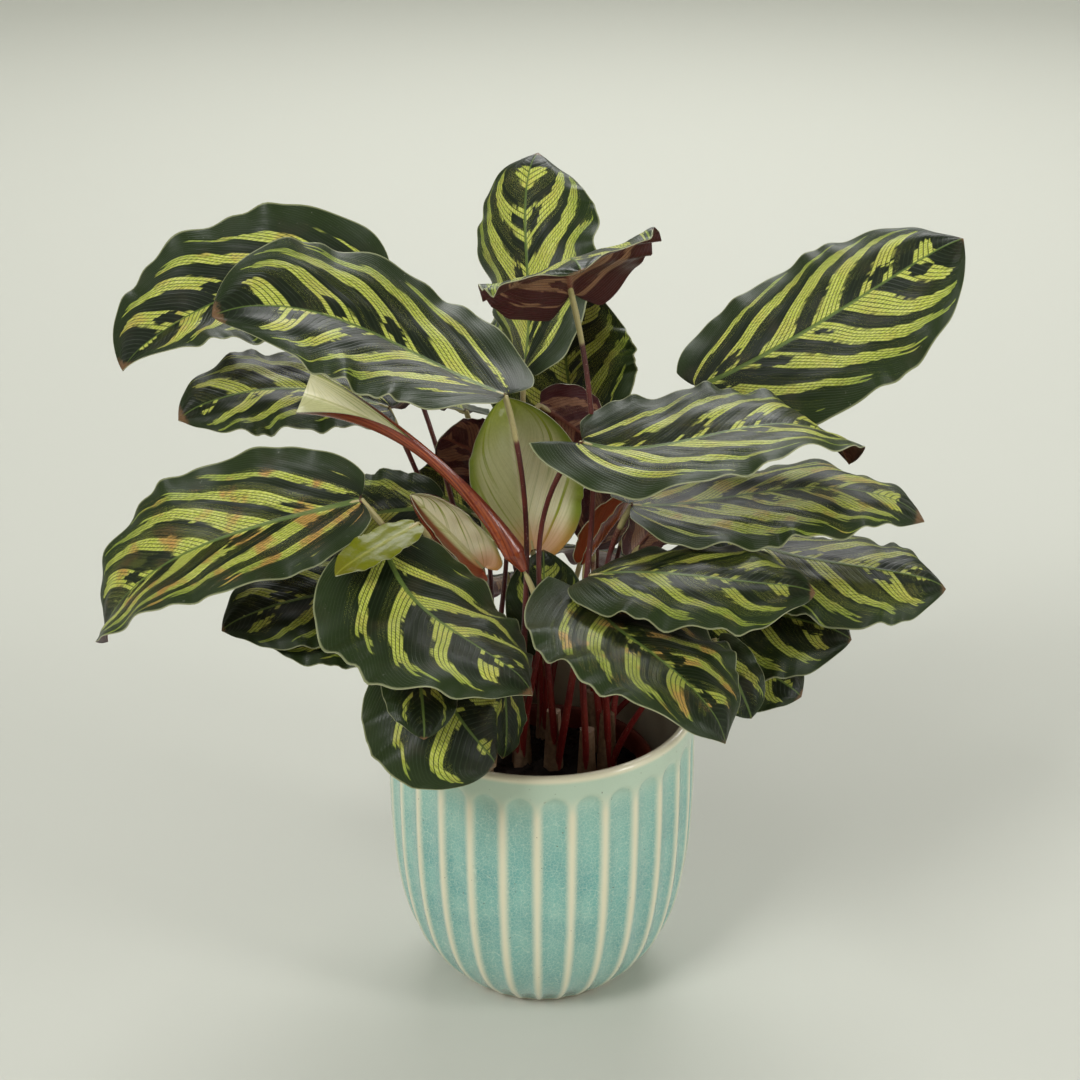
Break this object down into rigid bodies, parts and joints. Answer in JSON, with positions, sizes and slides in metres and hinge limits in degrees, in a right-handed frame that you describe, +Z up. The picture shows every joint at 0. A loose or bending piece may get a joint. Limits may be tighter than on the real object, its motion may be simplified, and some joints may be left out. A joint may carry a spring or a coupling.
{
  "type": "potted peacock plant",
  "caption": "Bushy foliage plant with broad banded leaves on thin red stalks, in a plastic nursery pot that stands in a fluted celadon ceramic pot.",
  "frame": {"origin": "middle of the ceramic pot's flat underside", "axes": "+Z up along the pot's axis, +X to the right and -Y towards the viewer of the plant's front"},
  "size_m": [0.4069, 0.3282, 0.3996],
  "materials": {
    "leaf": "satin living leaf, dark green with yellow-green bands above and maroon below",
    "new_leaf": "glossy young leaf, pale green and cream inside and copper red outside",
    "stalk": "smooth dark red plant stalk",
    "soil": "dark moist potting soil",
    "nursery_plastic": "thin red-brown plastic",
    "glaze": "glossy crackled celadon glaze, cream where it thins on the ribs"
  },
  "bodies": {
    "root": {"pot": "glaze", "nursery_pot": "nursery_plastic", "soil": "soil", "shoot_a": "stalk", "shoot_b": "stalk", "shoot_c": "stalk", "shoot_d": "stalk", "shoot_e": "stalk", "shoot_f": "stalk", "shoot_g": "stalk", "shoot_h": "stalk", "blade_01": "leaf", "blade_02": "leaf", "blade_03": "leaf", "blade_04": "leaf", "blade_05": "leaf", "blade_06": "leaf", "blade_07": "leaf", "blade_08": "leaf", "blade_09": "leaf", "blade_10": "leaf", "blade_11": "leaf", "blade_12": "leaf", "blade_13": "leaf", "blade_14": "leaf", "blade_15": "leaf", "blade_16": "leaf", "blade_17": "leaf", "blade_18": "leaf", "blade_19": "leaf", "blade_20": "leaf", "blade_21": "leaf", "blade_22": "leaf", "blade_23": "leaf", "blade_24": "leaf", "blade_25": "leaf", "blade_26": "leaf", "blade_27": "leaf", "blade_28": "leaf", "blade_29": "leaf", "blade_30": "leaf", "blade_31": "leaf", "blade_32": "leaf", "blade_33": "leaf", "blade_34": "leaf", "blade_35": "leaf", "blade_36": "leaf", "blade_37": "leaf", "blade_38": "leaf", "new_leaf_01": "new_leaf", "new_leaf_02": "new_leaf", "new_leaf_03": "new_leaf", "new_leaf_04": "new_leaf"}
  },
  "joints": []
}
